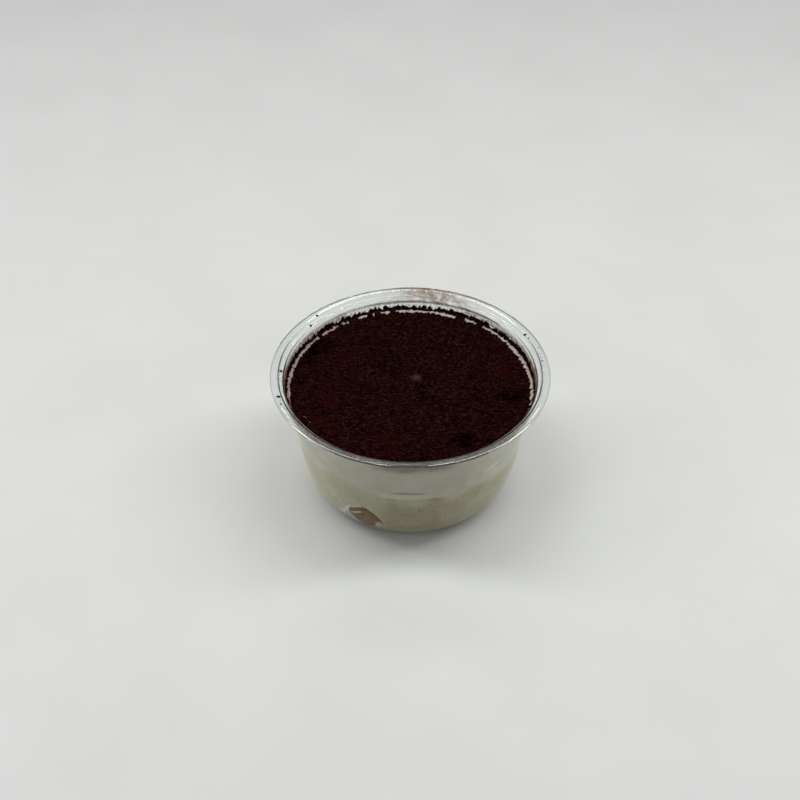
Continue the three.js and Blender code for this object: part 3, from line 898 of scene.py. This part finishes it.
def cocoa_grains(material):
    """Loose cocoa: single specks on the flange, crumbs along the ring, clumps on the dusting, and
    the spill over the rim."""
    random = np.random.default_rng(7)
    angle, radius, size = np.array(FLANGE_SPECKS).T
    spots = [at_angle(radius, angle, flange_height(radius) + 0.05)]
    sizes = [size]
    angle = random.uniform(-180, 180, GRAINS_ON_WALL)
    up = random.exponential(0.8, GRAINS_ON_WALL)
    keep = np.abs(turned(angle, BACK)) < MARGIN_SHOWS
    height = CREAM_TOP + 1.6 + up[keep]
    spots.append(wall_spots(angle[keep], np.minimum(height, NECK_TOP[1]), 0.05))
    sizes.append(random.uniform(0.2, 0.55, keep.sum()))
    # on the cream's margin, some beside the dusting and some beside the ring on the wall
    angle = random.uniform(-20, 200, GRAINS_ON_MARGIN)
    beside_dusting = random.uniform(size=GRAINS_ON_MARGIN) < 0.6
    inner = cocoa_edge(angle) + random.exponential(0.2, GRAINS_ON_MARGIN)
    outer = 52.8 - random.exponential(0.15, GRAINS_ON_MARGIN)
    radius = np.where(beside_dusting, inner, outer)
    spots.append(at_angle(radius, angle, cream_surface(radius, angle) + 0.05))
    sizes.append(random.uniform(0.12, 0.36, GRAINS_ON_MARGIN))
    # the square root spreads the clumps evenly over the dusting
    radius = np.sqrt(random.uniform(0, 1, CLUMPS_ON_DUSTING)) * 50
    angle = random.uniform(-180, 180, CLUMPS_ON_DUSTING)
    spots.append(at_angle(radius, angle, cream_surface(radius, angle) + COCOA_DEPTH))
    sizes.append(random.uniform(0.3, 0.8, CLUMPS_ON_DUSTING))
    angle = random.uniform(-180, 180, GRAINS_ON_FLANGE)
    radius = random.uniform(54.7, 59.4, GRAINS_ON_FLANGE)
    spots.append(at_angle(radius, angle, flange_height(radius) + 0.03))
    sizes.append(random.uniform(0.1, 0.3, GRAINS_ON_FLANGE))
    # the dusting spilled over the rim at the front, and a little at the back
    angle = FRONT + random.normal(0, 42, GRAINS_SPILLED)
    spots.append(rim_spots(angle, random.uniform(*SPILL, GRAINS_SPILLED), 0.03))
    angle = random.normal(80, 14, GRAINS_SPILLED_BEHIND)
    spots.append(rim_spots(angle, random.uniform(0.8, 7, GRAINS_SPILLED_BEHIND), 0.05))
    sizes.append(random.uniform(0.14, 0.32, GRAINS_SPILLED + GRAINS_SPILLED_BEHIND))
    sizes = np.concatenate(sizes)
    # the single specks lie flat, so none shows below the thin flange
    flatness = np.where(np.arange(len(sizes)) < len(FLANGE_SPECKS), 0.25, 1)
    piece = grains("cocoa_grains", np.concatenate(spots), sizes, material, random, flatness)
    attach(piece, "cocoa")


# How many grains of dust lie at the back right, further left at the back, and over the front
DUST_BACK_RIGHT = 2600
DUST_BACK = 900
DUST_FRONT = 2600


def cocoa_dust(material):
    """Fine cocoa dust in the corner above the wall at the back, and over the rim at the front."""
    random = np.random.default_rng(11)
    spots = []
    angle = random.uniform(42, 66, DUST_BACK_RIGHT)
    height = random.normal(NECK_TOP[1] - 0.1, 0.14, DUST_BACK_RIGHT)
    spots.append(wall_spots(angle, height, 0.03))
    angle = random.uniform(60, 112, DUST_BACK)
    height = random.normal(NECK_TOP[1] - 0.4, 0.35, DUST_BACK)
    spots.append(wall_spots(angle, height, 0.03))
    angle = FRONT + random.normal(0, 40, DUST_FRONT)
    spots.append(rim_spots(angle, random.uniform(*SPILL, DUST_FRONT), 0.03))
    spots = np.concatenate(spots)
    sizes = random.uniform(0.1, 0.26, len(spots))
    attach(grains("cocoa_dust", spots, sizes, material, random), "cocoa")


# Light specks on the dusting at the front left, as (angle, radius, size)
LIGHT_SPECKS = ((-154.6, 49.4, 0.7), (-153.4, 49.0, 0.45), (-149.5, 48.9, 0.55),
                (-147.0, 44.5, 0.45))
# How many grains of the smear are drawn for the rim, before its gaps are left out, and for the
# neck below it
SMEAR_ON_RIM = 16000
SMEAR_ON_NECK = 4000


def cocoa_smear(material):
    """A brown smear over the flange, riser and ledge at the back, and on the neck below them, and
    a few specks on the dusting that are as light as it is."""
    random = np.random.default_rng(13)
    angle = random.normal(78, 11, SMEAR_ON_RIM)
    rim = rim_spots(angle, random.uniform(0.3, 9, SMEAR_ON_RIM), 0.02)
    patchy = relief(rim, 3.5, 71, 3) > random.uniform(-0.6, 0.4, SMEAR_ON_RIM)
    angle = random.normal(92, 26, SMEAR_ON_NECK)
    neck = wall_spots(angle, random.uniform(CREAM_TOP + 3.2, NECK_TOP[1], SMEAR_ON_NECK), 0.03)
    angle, radius, size = np.array(LIGHT_SPECKS).T
    crumbs = at_angle(radius, angle, cream_surface(radius, angle) + COCOA_DEPTH + 0.2)
    sizes = np.concatenate([random.uniform(0.12, 0.28, patchy.sum() + SMEAR_ON_NECK), size])
    spots = np.concatenate([rim[patchy], neck, crumbs])
    attach(grains("cocoa_smear", spots, sizes, material, random), "cocoa")


# How many grains of the film lie in each stretch of the wall, as (from, to, count)
FILM = ((-15, 62, 5000), (62, 122, 1000), (122, 205, 5600), (-155, -15, 2600))


def cocoa_film(material):
    """A thin film of cocoa on the wall above the ring, thickest low down and at the sides."""
    random = np.random.default_rng(17)
    angle = np.concatenate([random.uniform(start, end, count) for start, end, count in FILM])
    even = random.uniform(CREAM_TOP + 1, NECK_TOP[1] - 0.3, len(angle))
    low = CREAM_TOP + 1 + 1.2 * np.abs(random.normal(0, 1, len(angle)))
    height = np.where(random.uniform(size=len(angle)) < 0.6, even, low)
    spots = wall_spots(angle, np.minimum(height, NECK_TOP[1] - 0.1), 0.02)
    sizes = random.uniform(0.16, 0.38, len(spots))
    attach(grains("cocoa_film", spots, sizes, material, random), "cocoa")


# The studio, in metres and watts: the floor's reach to each side, softboxes that face the cup as
# (place, size, energy), and the camera's place and how far it looks down
FLOOR_REACH = 4
SOFTBOXES = (((-0.52, 0.1, 0.82), (0.12, 1.0), 4.4), ((0.52, 0.1, 0.82), (0.12, 1.0), 4.4),
             ((-0.9, -0.5, 0.5), (0.5, 0.5), 1.4), ((0.9, -0.5, 0.5), (0.5, 0.5), 1.4),
             ((0, 0.62, 0.78), (0.9, 0.05), 1.1))
CAMERA_PLACE = (-0.00435, -0.4917, 0.4741)
CAMERA_DOWN = 41.23


def pale_floor():
    """A plain pale floor, just below the cup's base."""
    far = FLOOR_REACH
    mesh = bpy.data.meshes.new("floor")
    mesh.from_pydata([(-far, -far, 0), (far, -far, 0), (far, far, 0), (-far, far, 0)], [],
                     [(0, 1, 2, 3)])
    mesh.materials.append(painted_board())
    floor = bpy.data.objects.new("floor", mesh)
    floor.location.z = -0.02 * MM
    bpy.context.scene.collection.objects.link(floor)


def soft_light():
    """Dim light from all round, and the softboxes."""
    scene = bpy.context.scene
    scene.view_settings.view_transform = "Standard"
    world = bpy.data.worlds.new("studio")
    world.use_nodes = True
    background = world.node_tree.nodes["Background"]
    background.inputs["Color"].default_value = linear("#C8CACB")
    background.inputs["Strength"].default_value = 0.3
    scene.world = world
    for place, size, energy in SOFTBOXES:
        lamp = bpy.data.lights.new("softbox", "AREA")
        lamp.shape = "RECTANGLE"
        lamp.size, lamp.size_y = size
        lamp.energy = energy
        box = bpy.data.objects.new("softbox", lamp)
        box.location = place
        box.rotation_euler = Vector(place).to_track_quat("Z", "Y").to_euler()
        scene.collection.objects.link(box)


def front_camera():
    """A long lens that looks down at the cup from the front."""
    camera = bpy.data.cameras.new("camera")
    camera.lens = 67.5
    camera.sensor_width = 36
    camera.clip_start = 0.01
    holder = bpy.data.objects.new("camera", camera)
    holder.location = CAMERA_PLACE
    holder.rotation_euler = (math.radians(90 - CAMERA_DOWN), 0, 0)
    bpy.context.scene.collection.objects.link(holder)
    bpy.context.scene.camera = holder


pale_floor()
soft_light()
front_camera()
cup_shell(clear_thermoformed_pet())
upper_cream(whipped_cream("whipped_cream_plain", [(0.3, "#C4C1AD"), (0.7, "#D1CEBC")], 0))
lower_cream(whipped_cream("whipped_cream_with_coffee", [(0.3, "#B6AE8C"), (0.7, "#C8C1A2")], 0.45))
soaked_biscuit(coffee_soaked_sponge())
cocoa = sifted_cocoa()
cocoa_dusting(cocoa)
cocoa_wall_ring(cocoa)
cocoa_grains(cocoa)
dust = fine_cocoa_dust()
cocoa_dust(dust)
cocoa_film(dust)
cocoa_smear(smeared_cocoa())
